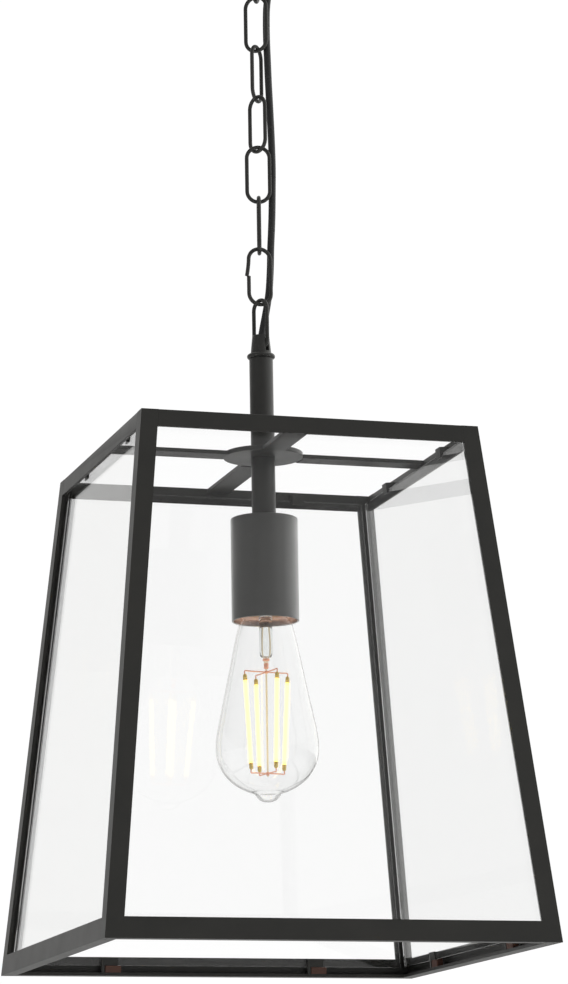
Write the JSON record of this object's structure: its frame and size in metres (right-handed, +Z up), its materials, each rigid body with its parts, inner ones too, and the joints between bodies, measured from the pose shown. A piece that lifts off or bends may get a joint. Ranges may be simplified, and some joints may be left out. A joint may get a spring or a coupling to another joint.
{
  "type": "hanging lantern",
  "caption": "Tapered square hanging lantern: black steel frame, clear glass panes, filament bulb in a cup lampholder, on a link chain with a cord and a round ceiling canopy.",
  "frame": {"origin": "middle of the ceiling bracket's upper face, in the ceiling plane, on the chain's line", "axes": "+Z up; X along the ceiling bracket and the left-right cross bars; Y from the front face to the back face"},
  "size_m": [0.275, 0.275, 0.7035],
  "materials": {
    "black_metal": "satin",
    "dark_metal": "satin",
    "zinc": "satin",
    "brass": "satin",
    "pane_glass": "polished",
    "bulb_glass": "polished",
    "cord_jacket": "matt",
    "black_plastic": "matt",
    "white_plastic": "matt",
    "core_jacket": "satin",
    "brown_rubber": "matt",
    "porcelain": "satin",
    "nickel": "satin",
    "filament": "matt, lit",
    "copper_wire": "satin"
  },
  "bodies": {
    "ceiling": {"ceiling_bracket": "zinc", "mount_nipple": "zinc", "lock_nut": "zinc", "canopy": "black_metal", "canopy_loop": "black_metal", "cord_gland": "black_plastic", "terminal_block": "white_plastic", "block_screws": "brass", "canopy_cores": "core_jacket", "cord": "cord_jacket"},
    "link_1": {"link_1": "black_metal"},
    "link_2": {"link_2": "black_metal"},
    "link_3": {"link_3": "black_metal"},
    "link_4": {"link_4": "black_metal"},
    "link_5": {"link_5": "black_metal"},
    "link_6": {"link_6": "black_metal"},
    "link_7": {"link_7": "black_metal"},
    "lantern": {"loop_ring": "black_metal", "loop_cap": "black_metal", "bead_collar": "black_metal", "upper_tube": "black_metal", "lower_tube": "black_metal", "stem_rod": "zinc", "centre_disc": "black_metal", "cross_bars_left_right": "black_metal", "cross_bars_front_back": "black_metal", "post_front_right": "black_metal", "post_back_right": "black_metal", "post_back_left": "black_metal", "post_front_left": "black_metal", "top_rail_front": "black_metal", "top_rail_right": "black_metal", "top_rail_back": "black_metal", "top_rail_left": "black_metal", "bottom_rail_front": "black_metal", "bottom_rail_right": "black_metal", "bottom_rail_back": "black_metal", "bottom_rail_left": "black_metal", "pane_front": "pane_glass", "pane_right": "pane_glass", "pane_back": "pane_glass", "pane_left": "pane_glass", "top_clips": "black_metal", "bottom_clips": "black_metal", "glass_pads": "brown_rubber", "lampholder_cup": "dark_metal", "cup_nut": "zinc", "lampholder_body": "porcelain", "screw_shell": "brass", "centre_contact": "brass", "terminal_screws": "brass", "stem_cores": "core_jacket"},
    "bulb": {"bulb_glass": "bulb_glass", "bulb_cap": "nickel", "cap_insulator": "black_plastic", "cap_contact": "brass", "glass_stem": "bulb_glass", "filaments": "filament", "filament_wires": "copper_wire"}
  },
  "joints": [
    {"name": "link_1_swing", "type": "hinge", "parent": "ceiling", "child": "link_1", "pos_m": [0, 0, -0.0545], "axis": [0.866, -0.5, 0], "range_deg": [-15, 15], "deforming": ["cord"]},
    {"name": "link_2_swing", "type": "hinge", "parent": "link_1", "child": "link_2", "pos_m": [0, 0, -0.08755], "axis": [0.5, 0.866, 0], "range_deg": [-15, 15]},
    {"name": "link_3_swing", "type": "hinge", "parent": "link_2", "child": "link_3", "pos_m": [0, 0, -0.12135], "axis": [0.766, -0.6428, 0], "range_deg": [-15, 15]},
    {"name": "link_4_swing", "type": "hinge", "parent": "link_3", "child": "link_4", "pos_m": [0, 0, -0.15515], "axis": [0.6428, 0.766, 0], "range_deg": [-15, 15]},
    {"name": "link_5_swing", "type": "hinge", "parent": "link_4", "child": "link_5", "pos_m": [0, 0, -0.18895], "axis": [0.4226, -0.9063, 0], "range_deg": [-15, 15]},
    {"name": "link_6_swing", "type": "hinge", "parent": "link_5", "child": "link_6", "pos_m": [0, 0, -0.22275], "axis": [0.9659, -0.2588, 0], "range_deg": [-15, 15]},
    {"name": "link_7_swing", "type": "hinge", "parent": "link_6", "child": "link_7", "pos_m": [0, 0, -0.25655], "axis": [0.2588, 0.9659, 0], "range_deg": [-15, 15]},
    {"name": "lantern_swing", "type": "hinge", "parent": "link_7", "child": "lantern", "pos_m": [0, 0, -0.29035], "axis": [1, 0, 0], "range_deg": [-15, 15]},
    {"name": "bulb_release", "type": "slide", "parent": "lantern", "child": "bulb", "axis": [0, 0, -1], "range_m": [0, 0.03]}
  ]
}
